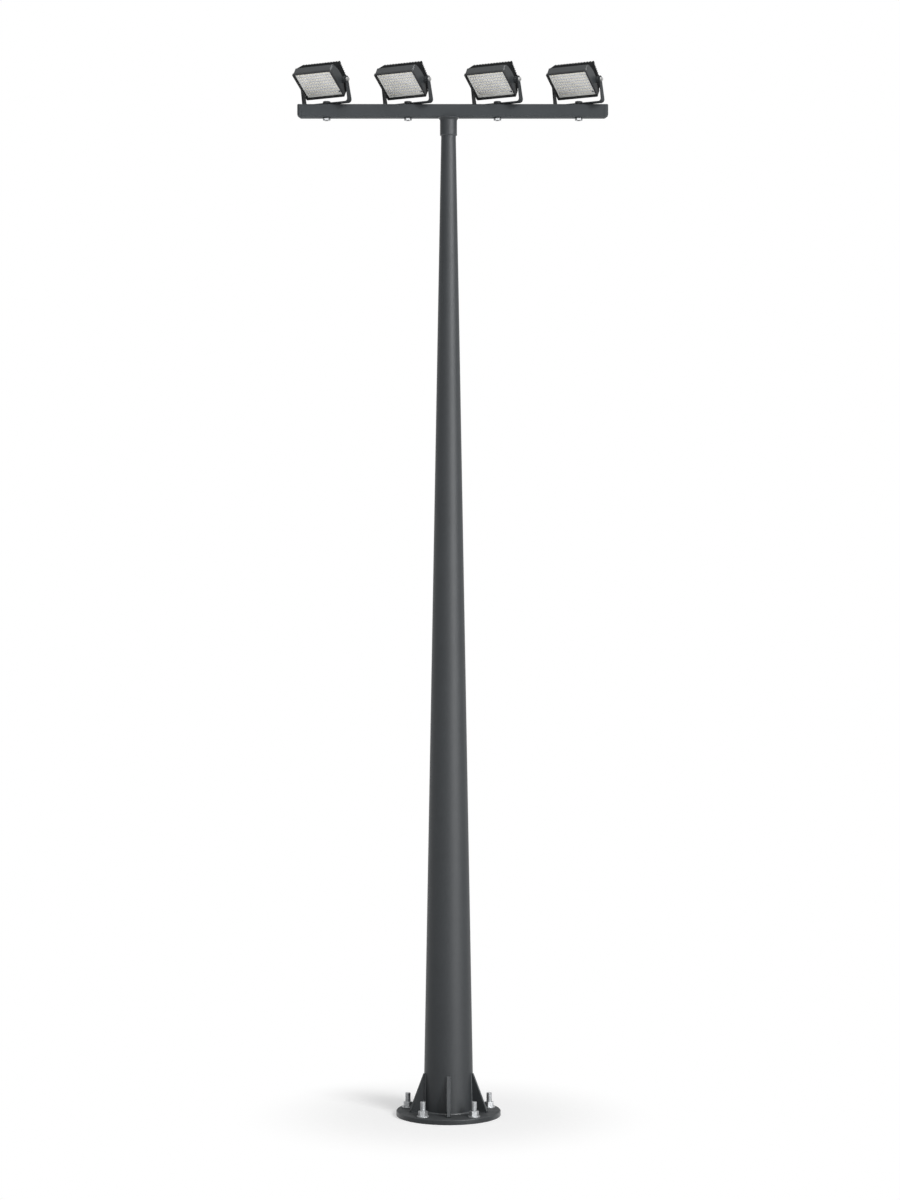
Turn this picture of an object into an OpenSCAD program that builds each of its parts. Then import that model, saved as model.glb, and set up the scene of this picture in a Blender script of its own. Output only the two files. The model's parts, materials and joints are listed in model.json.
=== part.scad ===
// High mast floodlight tower: a tapered steel mast on a gusseted base plate,
// a box-section crossarm on a welded socket, and four LED floodlights on U-yokes.
// Millimetres, +Z up, front of the mast towards -Y, origin on the underside of the base plate.

/* [Base] */
// diameter of the round base plate
plate_d = 1240; // [900:10:1600]
// thickness of the base plate
plate_t = 58; // [30:1:90]
// bevel round the plate's upper rim
plate_bevel = 8; // [2:1:15]
// radius of the cable entry through the plate
cable_entry_r = 55; // [30:1:80]
// distance of the cable entry behind the mast axis
cable_entry_y = 150; // [100:5:180]
// diameter of the anchor bolt circle
anchor_pcd = 1018; // [800:2:1300]
// number of anchor bolts, and of gussets between them
anchor_count = 5; // [4:1:8]
// clearance round an anchor stud in its hole
stud_clearance = 3; // [1:0.5:6]
// diameter of an anchor stud
stud_d = 64; // [30:1:80]
// height of an anchor stud's end above the plate
stud_rise = 176; // [120:1:260]
// bevel at an anchor stud's end
stud_bevel = 5; // [2:0.5:8]
// width of an anchor nut across its flats
anchor_nut_af = 98; // [60:1:120]
// height of an anchor nut
anchor_nut_h = 57; // [30:1:80]
// diameter of an anchor washer
anchor_washer_d = 145; // [90:1:170]
// thickness of an anchor washer
anchor_washer_t = 12; // [4:1:20]

/* [Gussets] */
// thickness of a gusset plate
gusset_t = 40; // [15:1:60]
// height of a gusset above the base plate
gusset_h = 450; // [200:10:700]
// length of a gusset out from the pole's foot
gusset_run = 184.5; // [120:0.5:260]
// height of the square toe at a gusset's outer end
gusset_toe = 16; // [5:1:40]
// width of the flat at a gusset's top
gusset_flat = 18; // [8:1:40]
// size of the corner cut that clears the foot weld
gusset_cope = 34; // [20:1:60]

/* [Mast] */
// height of the crossarm's upper face above the ground
mast_h = 12000; // [9000:100:18000]
// outer diameter of the pole at the base plate
pole_base_d = 595; // [400:5:800]
// outer diameter of the pole where it enters the socket
pole_top_d = 175; // [120:1:260]
// wall thickness of the pole
pole_wall = 8; // [5:0.5:14]
// leg of the fillet weld round the pole's foot
foot_weld = 16; // [8:1:26]

/* [Arm socket] */
// outer diameter of the socket
socket_d = 202; // [180:1:300]
// length of the socket below the crossarm
socket_h = 210; // [120:5:400]
// thickness of the plate that closes the socket's top
socket_cap_t = 14; // [8:1:30]
// outer diameter of the flare under the crossarm
flare_d = 230; // [205:1:330]
// height of the flare
flare_h = 34; // [14:1:60]
// height of the flare's straight rim
flare_rim = 8; // [3:1:12]

/* [Crossarm] */
// overall length of the crossarm with its end caps
arm_l = 3690; // [2800:10:5000]
// height of the box section
arm_h = 150; // [100:5:220]
// depth of the box section
arm_d = 150; // [100:5:220]
// wall thickness of the box section
arm_wall = 6; // [4:0.5:10]
// outer corner radius of the box section
arm_r = 10; // [4:1:20]
// shift of the crossarm's middle to the right of the mast axis
arm_offset = 50; // [-100:5:100]
// length of an end cap outside the box section
cap_l = 50; // [20:1:90]
// length of the plug that an end cap has inside the box section
cap_plug = 40; // [20:1:80]
// width of the upright bevels on an end cap
cap_bevel = 20; // [4:1:24]
// width of the bevel along an end cap's top
cap_top_bevel = 6; // [2:1:12]
// clearance round an end cap's plug
cap_gap = 0.8; // [0.3:0.1:2]
// length of the slanted cut under an end cap
cap_slant_l = 38; // [10:1:45]
// height of the slanted cut under an end cap
cap_slant_h = 24; // [8:1:40]

/* [Lamp stations] */
// distance from the crossarm's end in to an outer lamp's swivel axis
station_end = 347; // [300:1:600]
// distance of an inner lamp from the crossarm's middle, as a share of an outer lamp's
station_share = 0.355; // [0.3:0.005:0.4]
// yaw of the lamps towards the viewer's left
lamp_yaw = 27; // [0:1:60]
// tilt of the lamps below the horizontal
lamp_tilt = 56; // [0:1:85]
// radius of the swivel bolt's shank
swivel_r = 15; // [8:1:24]
// diameter of the washers on the swivel bolt
swivel_washer_d = 94; // [90:1:110]
// thickness of the washers under the crossarm
swivel_washer_t = 10; // [4:1:16]
// thickness of the spacer between crossarm and yoke
spacer_t = 6; // [3:1:12]
// width of the swivel bolt's hexagon across its flats
swivel_af = 78; // [50:1:80]
// height of the swivel bolt's head
swivel_head_h = 15; // [10:1:20]
// height of the nut under the crossarm
swivel_nut_h = 24; // [14:1:40]
// thickness of the disc under the swivel bolt's head
disc_t = 8; // [5:1:14]
// bevel round that disc
disc_bevel = 3; // [1:0.5:4]
// clearance of the swivel bolt in the crossarm
bolt_clearance = 1; // [0.5:0.5:3]
// length of the swivel bolt's end below its nut
swivel_end = 3; // [0:1:20]

/* [Yoke] */
// outer width of the yoke
yoke_w = 628; // [596:2:720]
// thickness of the yoke's flat bar
yoke_t = 12; // [6:1:18]
// width of the flat bar along the base
yoke_bar = 92; // [60:1:110]
// outer radius of the bends at the bottom corners
yoke_bend = 40; // [20:1:80]
// height of the tilt axis above the crossarm
pivot_h = 269; // [250:1:340]
// distance of the tilt axis in front of the swivel bolt
pivot_fwd = 62; // [0:1:130]
// outer radius of the eye at the top of a yoke leg
eye_r = 43; // [34:1:56]
// width of a yoke leg where it meets its eye
leg_end = 62; // [44:1:66]
// height above the bend where a yoke leg starts to narrow
leg_rise = 8; // [2:1:30]

/* [Lamp] */
// gap between the bezel's side and a yoke leg
leg_gap = 42; // [34:1:60]
// height of the bezel
bezel_h = 430; // [380:2:500]
// depth of the bezel
bezel_t = 26; // [18:1:36]
// corner radius of the bezel
bezel_r = 14; // [6:1:30]
// width of the bezel's rim round the light opening
bezel_rim = 16; // [12:1:30]
// step from the bezel's outline in to the housing
bezel_lip = 4; // [1:0.5:10]
// thickness of the front glass
glass_t = 5; // [3:0.5:8]
// depth of the glass behind the bezel's face
glass_depth = 14; // [6:0.5:18]
// width of the ledge that the glass seats on
glass_ledge = 7; // [4:0.5:9]
// depth of the LED panel's face behind the bezel's face
panel_depth = 44; // [38:1:60]
// thickness of the LED panel
panel_t = 6; // [3:0.5:10]
// width of the ledge that carries the LED panel
panel_ledge = 14; // [8:1:24]
// thickness of that ledge
panel_ledge_t = 10; // [6:1:16]

/* [Housing] */
// depth of the housing's flat top behind the bezel's face
hood_depth = 118; // [100:1:140]
// drop of the housing's top from front to rear
hood_fall = 10; // [0:1:30]
// width of the bevel along the hood's two side edges
hood_bevel = 14; // [4:1:20]
// greatest depth of the side panels behind the bezel's face
back_depth = 163; // [154:1:190]
// height of that greatest depth above the bezel's middle
back_rise = 15; // [-20:1:40]
// wall thickness of the cast housing
shell_t = 8; // [5:0.5:12]
// step from a side panel in to the fin block
fin_inset = 5; // [2:1:30]
// number of cooling fins across the back
fin_count = 12; // [7:1:16]
// thickness of a cooling fin
fin_t = 16; // [4:0.5:18]
// step from the housing's top and bottom in to the fins
fin_step = 9; // [2:1:20]
// length of a fin's foot along the housing's bottom
fin_tail = 96; // [8:1:110]
// thickness of the ribbed cheek at each end of the fin block
cheek_t = 16; // [12:0.5:22]
// depth of the fin block's rear top edge behind the bezel's face
fin_depth = 282; // [240:2:320]
// height of that edge above the bezel's middle
fin_top = 96; // [50:1:120]
// depth of the fin block's rear bottom edge behind the bezel's face
fin_foot_depth = 236; // [210:2:290]
// distance of that edge below the bezel's middle
fin_foot = 176; // [70:1:190]
// number of slanted grooves in a cheek
groove_count = 6; // [3:1:7]
// height of the first groove above the bezel's middle
groove_top = 112; // [80:1:130]
// spacing of the grooves down the cheek
groove_pitch = 31; // [24:1:40]
// width of a groove
groove_w = 13; // [6:1:18]
// depth of a groove into the cheek
groove_d = 8; // [3:0.5:10]
// slope of the grooves down towards the back
groove_slope = 28; // [10:1:40]
// distance from the side panel's rounded edge to a groove
groove_gap = 8; // [4:1:16]
// distance of the tilt axis behind the bezel's face
pivot_back = 140; // [120:1:150]
// distance of the tilt axis below the bezel's middle
pivot_drop = 71; // [40:1:90]
// radius of the boss round the tilt axis
boss_r = 40; // [28:1:46]
// radius of the collar at the boss's outer end
boss_end_r = 32; // [22:1:40]
// length of that collar
boss_end_l = 14; // [6:1:24]
// gap between the boss and the yoke's leg
boss_gap = 0.8; // [0.5:0.1:3]
// radius of the pivot bolt's shank
pivot_r = 12; // [8:0.5:14]
// depth of the pivot bolt's thread in the boss
pivot_grip = 36; // [24:1:40]
// spare depth of the threaded hole
pivot_spare = 4; // [2:1:8]
// width of the pivot bolt's head across its flats
pivot_af = 36; // [24:1:46]
// height of the pivot bolt's head
pivot_head_h = 16; // [8:1:24]
// radius of the flange under the pivot bolt's head
pivot_flange_r = 26; // [22:1:34]
// thickness of that flange
pivot_flange_t = 5; // [3:0.5:8]

/* [Hidden] */
$fn = 96;
// running clearance of a shank in the bore that turns on it
run_gap = 0.05;
// clearance between curved faces of fixed pieces
fit_gap = 0.3;
// clearance between flat faces that move past each other
side_gap = 0.5;
// derived heights on the mast
arm_bottom_z = mast_h - arm_h;
socket_bottom_z = arm_bottom_z - socket_h;
pole_taper = (pole_base_d - pole_top_d) / (socket_bottom_z - plate_t);
pole_end_z = arm_bottom_z - socket_cap_t;
pole_end_d = pole_top_d - pole_taper * (pole_end_z - socket_bottom_z);
gusset_top_r = pole_base_d / 2 - pole_taper / 2 * gusset_h + gusset_flat;
tube_l = arm_l - 2 * cap_l;
anchor_turn = 360 / anchor_count;
// derived heights at a lamp station, above the crossarm
yoke_z = spacer_t + side_gap;
disc_z = yoke_z + yoke_t + side_gap;
// derived sizes of the lamp
bezel_w = yoke_w - 2 * (yoke_t + leg_gap);
light_w = bezel_w - 2 * bezel_rim;
light_h = bezel_h - 2 * bezel_rim;
light_r = bezel_r / 2;
housing_w = bezel_w - 2 * bezel_lip;
housing_h = bezel_h - 2 * bezel_lip;
hood_q = housing_h / 2 - hood_fall;
hood_slope = atan(hood_fall / (hood_depth - bezel_t));
chamber_q = hood_q - shell_t - hood_bevel / 2;
back_run = back_depth - hood_depth;
back_r = (pow(back_run, 2) + pow(hood_q - back_rise, 2)) / (2 * back_run);
block_w = housing_w - 2 * fin_inset;
fin_gap = (block_w - 2 * cheek_t - fin_count * fin_t) / (fin_count + 1);
boss_end = yoke_w / 2 - yoke_t - boss_gap;
// other derived sizes
gusset_root_r = pole_base_d / 3;
gusset_reach = pole_base_d / 2 + gusset_run;
arm_inner_r = max(arm_r - arm_wall, 1);
nut_turned_d = 1.01 * anchor_nut_af / cos(30);
nut_bevel = (nut_turned_d - anchor_nut_af) / 2 * tan(30);
yoke_reach = yoke_bar + pivot_fwd + 2 * eye_r;
station_out = arm_l / 2 - station_end;
station_in = station_out * station_share;
stations = [-station_out, -station_in, station_in, station_out];

// depth of the side panels' rounded back at a height in the lamp's frame
function back_at(q) = back_depth - back_r + sqrt(pow(back_r, 2) - pow(q - back_rise, 2));

// Placement helpers: round the base, at a lamp station, in a lamp's own frame.

module round_base(i, half = 0) {
  rotate([0, 0, -90 + anchor_turn * (i + half)]) children();
}

module at_station(i) {
  translate([arm_offset + stations[i - 1], 0, mast_h]) children();
}

// x along the tilt axis, y back from the front, z up, origin on the swivel bolt at the crossarm's top
module yoke_frame(i) {
  at_station(i) rotate([0, 0, -lamp_yaw]) children();
}

// same axes tilted with the lamp, origin in the middle of the bezel's face
module lamp_frame(i) {
  yoke_frame(i)
    translate([0, -pivot_fwd, pivot_h])
      rotate([lamp_tilt, 0, 0])
        translate([0, -pivot_back, pivot_drop]) children();
}

module rounded_rect(w, h, r) {
  square([w - 2 * r, h], center = true);
  square([w, h - 2 * r], center = true);
  for (x = [-1, 1])
    for (y = [-1, 1])
      translate([x * (w / 2 - r), y * (h / 2 - r)]) circle(r);
}

// extrudes a front-view outline back along +Y
module front_slab(depth, from = 0) {
  translate([0, from + depth, 0]) rotate([90, 0, 0]) linear_extrude(depth) children();
}

// extrudes a side-view outline, drawn as (y, z), across the width
module side_slab(width) {
  translate([-width / 2, 0, 0]) rotate([90, 0, 90]) linear_extrude(width) children();
}

module hexagon(af, h) {
  cylinder(r = af / 2 / cos(30), h = h, $fn = 6);
}

// Base plate: bevelled disc with a hole for every anchor stud and the cable entry.
module base_plate() {
  color("DimGray") difference() {
    union() {
      cylinder(d = plate_d, h = plate_t - plate_bevel);
      translate([0, 0, plate_t - plate_bevel])
        cylinder(d1 = plate_d, d2 = plate_d - 2 * plate_bevel, h = plate_bevel);
    }
    translate([0, cable_entry_y, -1]) cylinder(r = cable_entry_r, h = plate_t + 2);
    for (i = [0 : anchor_count - 1])
      round_base(i, 0.5) translate([anchor_pcd / 2, 0, -1])
        cylinder(d = stud_d + 2 * stud_clearance, h = plate_t + 2);
  }
}

// Gusset: triangular stiffener from plate to pole, coped at the foot weld.
module gusset(i) {
  color("DimGray") difference() {
    round_base(i)
      translate([0, gusset_t / 2, plate_t]) rotate([90, 0, 0]) linear_extrude(gusset_t)
        polygon([
          [pole_base_d / 2 + gusset_cope, 0], [gusset_reach, 0], [gusset_reach, gusset_toe],
          [gusset_top_r, gusset_h], [gusset_root_r, gusset_h], [gusset_root_r, gusset_cope],
          [pole_base_d / 2, gusset_cope]
        ]);
    translate([0, 0, plate_t])
      cylinder(
        d1 = pole_base_d + 2 * fit_gap,
        d2 = pole_base_d + 2 * fit_gap - pole_taper * (gusset_h + 10),
        h = gusset_h + 10
      );
  }
}

// Anchor set: studs through the plate, with a washer and a nut on each.
module anchor_studs() {
  color("Silver") for (i = [0 : anchor_count - 1])
    round_base(i, 0.5) translate([anchor_pcd / 2, 0, 0]) {
      cylinder(d = stud_d, h = plate_t + stud_rise - stud_bevel);
      translate([0, 0, plate_t + stud_rise - stud_bevel])
        cylinder(d1 = stud_d, d2 = stud_d - 2 * stud_bevel, h = stud_bevel);
    }
}

module anchor_washers() {
  color("Silver") for (i = [0 : anchor_count - 1])
    round_base(i, 0.5) translate([anchor_pcd / 2, 0, plate_t]) difference() {
      cylinder(d = anchor_washer_d, h = anchor_washer_t);
      translate([0, 0, -1]) cylinder(d = stud_d + 2 * stud_clearance, h = anchor_washer_t + 2);
    }
}

module anchor_nuts() {
  color("Silver") for (i = [0 : anchor_count - 1])
    round_base(i, 0.5) translate([anchor_pcd / 2, 0, plate_t + anchor_washer_t]) difference() {
      intersection() {
        hexagon(anchor_nut_af, anchor_nut_h);
        union() {
          cylinder(d1 = anchor_nut_af, d2 = nut_turned_d, h = nut_bevel);
          translate([0, 0, nut_bevel]) cylinder(d = nut_turned_d, h = anchor_nut_h - 2 * nut_bevel);
          translate([0, 0, anchor_nut_h - nut_bevel])
            cylinder(d1 = nut_turned_d, d2 = anchor_nut_af, h = nut_bevel);
        }
      }
      translate([0, 0, -1]) cylinder(d = stud_d + 2 * fit_gap, h = anchor_nut_h + 2);
    }
}

// Pole: rolled conical tube that stands on the plate and ends inside the socket.
module pole() {
  color("DimGray") translate([0, 0, plate_t]) difference() {
    cylinder(d1 = pole_base_d, d2 = pole_end_d, h = pole_end_z - plate_t);
    translate([0, 0, -1])
      cylinder(
        d1 = pole_base_d - 2 * pole_wall + pole_taper,
        d2 = pole_end_d - 2 * pole_wall - pole_taper,
        h = pole_end_z - plate_t + 2
      );
  }
}

// Foot weld: fillet between the plate and the pole.
module foot_weld_ring() {
  color("Gray") translate([0, 0, plate_t]) rotate_extrude()
    polygon([
      [pole_base_d / 2 + fit_gap, 0], [pole_base_d / 2 + foot_weld, 0],
      [pole_base_d / 2 + fit_gap, foot_weld]
    ]);
}

// Arm socket: closed tube over the pole's end, flared where it is welded to the crossarm.
module arm_socket() {
  bore_d = pole_top_d + 2 * fit_gap;
  color("DimGray") translate([0, 0, socket_bottom_z]) difference() {
    union() {
      cylinder(d = socket_d, h = socket_h);
      translate([0, 0, socket_h - flare_h]) cylinder(d1 = socket_d, d2 = flare_d, h = flare_h - flare_rim);
      translate([0, 0, socket_h - flare_rim]) cylinder(d = flare_d, h = flare_rim);
    }
    translate([0, 0, -1])
      cylinder(
        d1 = bore_d + pole_taper,
        d2 = bore_d - pole_taper * (socket_h - socket_cap_t),
        h = socket_h - socket_cap_t + 1
      );
  }
}

// Crossarm: box section with a clearance hole for each swivel bolt.
module crossarm() {
  color("DimGray") difference() {
    translate([arm_offset - tube_l / 2, 0, mast_h - arm_h / 2]) rotate([90, 0, 90])
      linear_extrude(tube_l) difference() {
        rounded_rect(arm_d, arm_h, arm_r);
        rounded_rect(arm_d - 2 * arm_wall, arm_h - 2 * arm_wall, arm_inner_r);
      }
    for (i = [1 : 4])
      at_station(i) translate([0, 0, -arm_h - 1]) cylinder(r = swivel_r + bolt_clearance, h = arm_h + 2);
  }
}

// End cap: bevelled block with a slanted underside, plugged into the box section.
module end_cap(side) {
  plug = arm_wall + cap_gap;
  color("DimGray") translate([arm_offset + side * tube_l / 2, 0, mast_h - arm_h / 2])
    mirror([side < 0 ? 1 : 0, 0, 0]) {
      intersection() {
        rotate([90, 0, 90]) linear_extrude(cap_l) rounded_rect(arm_d, arm_h, arm_r);
        translate([0, arm_d / 2, 0]) rotate([90, 0, 0]) linear_extrude(arm_d)
          polygon([
            [0, -arm_h / 2], [cap_l - cap_slant_l, -arm_h / 2], [cap_l, -arm_h / 2 + cap_slant_h],
            [cap_l, arm_h / 2 - cap_top_bevel], [cap_l - cap_top_bevel, arm_h / 2], [0, arm_h / 2]
          ]);
        translate([0, 0, -arm_h / 2]) linear_extrude(arm_h)
          polygon([
            [0, -arm_d / 2], [cap_l - cap_bevel, -arm_d / 2], [cap_l, -arm_d / 2 + cap_bevel],
            [cap_l, arm_d / 2 - cap_bevel], [cap_l - cap_bevel, arm_d / 2], [0, arm_d / 2]
          ]);
      }
      translate([-cap_plug, 0, 0]) rotate([90, 0, 90]) linear_extrude(cap_plug)
        rounded_rect(arm_d - 2 * plug, arm_h - 2 * plug, arm_inner_r);
    }
}

// Swivel stack: spacer on the crossarm, washer and nut under it, bolt through all.
module swivel_washers() {
  color("Gray") for (i = [1 : 4]) at_station(i) {
    swivel_washer(spacer_t);
    translate([0, 0, -arm_h - swivel_washer_t]) swivel_washer(swivel_washer_t);
  }
}

module swivel_washer(t) {
  difference() {
    cylinder(d = swivel_washer_d, h = t);
    translate([0, 0, -1]) cylinder(r = swivel_r + fit_gap, h = t + 2);
  }
}

module swivel_nuts() {
  color("Silver") for (i = [1 : 4])
    at_station(i) translate([0, 0, -arm_h - swivel_washer_t - swivel_nut_h]) difference() {
      hexagon(swivel_af, swivel_nut_h);
      translate([0, 0, -1]) cylinder(r = swivel_r + fit_gap, h = swivel_nut_h + 2);
    }
}

module swivel_bolt(i) {
  shank = disc_z + arm_h + swivel_washer_t + swivel_nut_h + swivel_end;
  color("DimGray") at_station(i) {
    translate([0, 0, disc_z - shank]) cylinder(r = swivel_r, h = shank);
    translate([0, 0, disc_z]) cylinder(d = swivel_washer_d, h = disc_t - disc_bevel);
    translate([0, 0, disc_z + disc_t - disc_bevel])
      cylinder(d1 = swivel_washer_d, d2 = swivel_washer_d - 2 * disc_bevel, h = disc_bevel);
    translate([0, 0, disc_z + disc_t]) hexagon(swivel_af, swivel_head_h);
  }
}

// Yoke: flat bar bent to a U, its legs raked forward and ending in round eyes.
module yoke(i) {
  leg_top = pivot_h - yoke_z;
  color("DimGray") yoke_frame(i) translate([0, 0, yoke_z]) difference() {
    intersection() {
      front_slab(2 * yoke_reach, -yoke_reach) difference() {
        yoke_outline(yoke_w, leg_top + eye_r + 1, yoke_bend, 0);
        yoke_outline(yoke_w - 2 * yoke_t, leg_top + eye_r + 3, yoke_bend - yoke_t, yoke_t);
      }
      side_slab(yoke_w + 2) {
        polygon([
          [-yoke_bar / 2, -1], [yoke_bar / 2, -1], [yoke_bar / 2, yoke_bend + leg_rise],
          [-pivot_fwd + leg_end / 2, leg_top], [-pivot_fwd - leg_end / 2, leg_top],
          [-yoke_bar / 2, yoke_bend + leg_rise]
        ]);
        translate([-pivot_fwd, leg_top]) circle(eye_r);
      }
    }
    translate([0, 0, -1]) cylinder(r = swivel_r + run_gap, h = yoke_t + 2);
    translate([-yoke_w, -pivot_fwd, leg_top]) rotate([0, 90, 0])
      cylinder(r = pivot_r + run_gap, h = 2 * yoke_w);
  }
}

module yoke_outline(w, h, r, lift) {
  translate([-w / 2 + r, lift]) square([w - 2 * r, h - lift]);
  translate([-w / 2, lift + r]) square([w, h - lift - r]);
  for (x = [-1, 1]) translate([x * (w / 2 - r), lift + r]) circle(r);
}

// Housing: cast shell with a driver chamber, vertical cooling fins between grooved cheeks,
// and two trunnion bosses.
module housing(i) {
  color("DimGray") lamp_frame(i) difference() {
    union() {
      shell();
      for (k = [0 : fin_count - 1])
        translate([-block_w / 2 + cheek_t + fin_gap + fin_t / 2 + k * (fin_gap + fin_t), 0, 0])
          side_slab(fin_t) fin_outline();
      for (x = [-1, 1])
        translate([x * (block_w - cheek_t) / 2, 0, 0]) side_slab(cheek_t) fin_outline();
      at_pivot() cylinder(r = boss_r, h = 2 * (boss_end - boss_end_l), center = true);
      at_pivot() cylinder(r = boss_end_r, h = 2 * boss_end, center = true);
    }
    side_slab(housing_w - 2 * shell_t) chamber_outline();
    // seat of the LED panel, open to the front
    front_slab(panel_depth + panel_t - bezel_t + 1, bezel_t - 1)
      rounded_rect(light_w, light_h, light_r);
    for (x = [-1, 1])
      for (k = [0 : groove_count - 1])
        translate([x * block_w / 2, 0, 0]) cheek_groove(groove_top - k * groove_pitch);
    // threaded holes for the pivot bolts
    for (x = [-1, 1])
      at_pivot() mirror([0, 0, x < 0 ? 1 : 0])
        translate([0, 0, boss_end - pivot_grip - pivot_spare])
          cylinder(r = pivot_r + fit_gap, h = pivot_grip + pivot_spare + 1);
  }
}

// z along the tilt axis
module at_pivot() {
  translate([0, pivot_back, -pivot_drop]) rotate([0, 90, 0]) children();
}

// shell of the lamp, with a bevel along each side of its top
module shell() {
  bar = hood_bevel * sqrt(2);
  difference() {
    side_slab(housing_w) shell_outline();
    for (x = [-1, 1])
      translate([x * housing_w / 2, bezel_t, housing_h / 2]) rotate([-hood_slope, 45, 0])
        cube([bar, 3 * back_depth, bar], center = true);
  }
}

// flat top and bottom, falling a little to the rear, cut off by the rounded back
module shell_outline() {
  fall = tan(hood_slope);
  intersection() {
    polygon([
      [bezel_t, -housing_h / 2], [bezel_t, housing_h / 2],
      [back_depth + 1, housing_h / 2 - fall * (back_depth + 1 - bezel_t)],
      [back_depth + 1, -housing_h / 2]
    ]);
    translate([back_depth - back_r, back_rise]) circle(back_r, $fn = 180);
  }
}

// driver chamber: a wall inside the shell, with ledges for the LED panel at its mouth
module chamber_outline() {
  mouth = light_h / 2 - panel_ledge;
  floor_p = panel_depth + panel_t;
  wide_p = floor_p + panel_ledge_t;
  intersection() {
    polygon([
      [floor_p - 1, -mouth], [floor_p - 1, mouth], [wide_p, mouth], [wide_p, chamber_q],
      [back_depth, chamber_q], [back_depth, -housing_h / 2 + shell_t],
      [wide_p, -housing_h / 2 + shell_t], [wide_p, -mouth]
    ]);
    translate([back_depth - back_r, back_rise]) circle(back_r - shell_t, $fn = 180);
  }
}

// from inside the shell's back wall to the slanted top, rear and bottom edges
module fin_outline() {
  high = hood_q - fin_step;
  low = -housing_h / 2 + fin_step;
  difference() {
    polygon([
      [panel_depth, high], [back_at(high), high], [fin_depth, fin_top],
      [fin_foot_depth, -fin_foot], [back_at(low) + fin_tail, low], [panel_depth, low]
    ]);
    translate([back_depth - back_r, back_rise]) circle(back_r - shell_t / 2, $fn = 180);
  }
}

// one slanted groove, from beside the side panel's edge out past the rear
module cheek_groove(q) {
  translate([0, back_at(q) + groove_gap, q]) rotate([-groove_slope, 0, 0])
    translate([-groove_d, 0, -groove_w / 2]) cube([2 * groove_d, fin_depth, groove_w]);
}

// Bezel: front frame with the light opening and a rebate for the glass behind it.
module bezel(i) {
  color("DimGray") lamp_frame(i) difference() {
    front_slab(bezel_t) rounded_rect(bezel_w, bezel_h, bezel_r);
    front_slab(bezel_t + 2, -1) rounded_rect(light_w, light_h, light_r);
    front_slab(bezel_t, glass_depth)
      rounded_rect(light_w + 2 * glass_ledge, light_h + 2 * glass_ledge, light_r + 2);
  }
}

module glass(i) {
  color([0.8, 0.85, 0.88, 0.4]) lamp_frame(i) front_slab(glass_t, glass_depth)
    rounded_rect(
      light_w + 2 * (glass_ledge - side_gap), light_h + 2 * (glass_ledge - side_gap), light_r + 1.5
    );
}

module led_panel(i) {
  color("WhiteSmoke") lamp_frame(i) front_slab(panel_t, panel_depth)
    rounded_rect(light_w - 2 * side_gap, light_h - 2 * side_gap, light_r - 0.5);
}

// Pivot bolts: screwed into the bosses, turning in the yoke's eyes.
module pivot_bolts(i) {
  head = yoke_w / 2 + side_gap;
  color("Silver") lamp_frame(i) for (x = [-1, 1])
    at_pivot() mirror([0, 0, x < 0 ? 1 : 0]) {
      translate([0, 0, boss_end - pivot_grip]) cylinder(r = pivot_r, h = head - boss_end + pivot_grip);
      translate([0, 0, head]) cylinder(r = pivot_flange_r, h = pivot_flange_t);
      translate([0, 0, head + pivot_flange_t]) hexagon(pivot_af, pivot_head_h);
    }
}

base_plate();
gusset(0);  // gusset_1
gusset(1);  // gusset_2
gusset(2);  // gusset_3
gusset(3);  // gusset_4
gusset(4);  // gusset_5
anchor_studs();
anchor_washers();
anchor_nuts();
pole();
foot_weld_ring();
arm_socket();
crossarm();
end_cap(-1);  // end_cap_left
end_cap(1);  // end_cap_right
swivel_washers();
swivel_nuts();
swivel_bolt(1);  // swivel_bolt_1
swivel_bolt(2);  // swivel_bolt_2
swivel_bolt(3);  // swivel_bolt_3
swivel_bolt(4);  // swivel_bolt_4
yoke(1);  // yoke_1
yoke(2);  // yoke_2
yoke(3);  // yoke_3
yoke(4);  // yoke_4
housing(1);  // housing_1
housing(2);  // housing_2
housing(3);  // housing_3
housing(4);  // housing_4
bezel(1);  // bezel_1
bezel(2);  // bezel_2
bezel(3);  // bezel_3
bezel(4);  // bezel_4
glass(1);  // glass_1
glass(2);  // glass_2
glass(3);  // glass_3
glass(4);  // glass_4
led_panel(1);  // led_panel_1
led_panel(2);  // led_panel_2
led_panel(3);  // led_panel_3
led_panel(4);  // led_panel_4
pivot_bolts(1);  // pivot_bolts_1
pivot_bolts(2);  // pivot_bolts_2
pivot_bolts(3);  // pivot_bolts_3
pivot_bolts(4);  // pivot_bolts_4
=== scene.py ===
import json
import math

import bmesh
import bpy
from mathutils import Matrix, Vector


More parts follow.
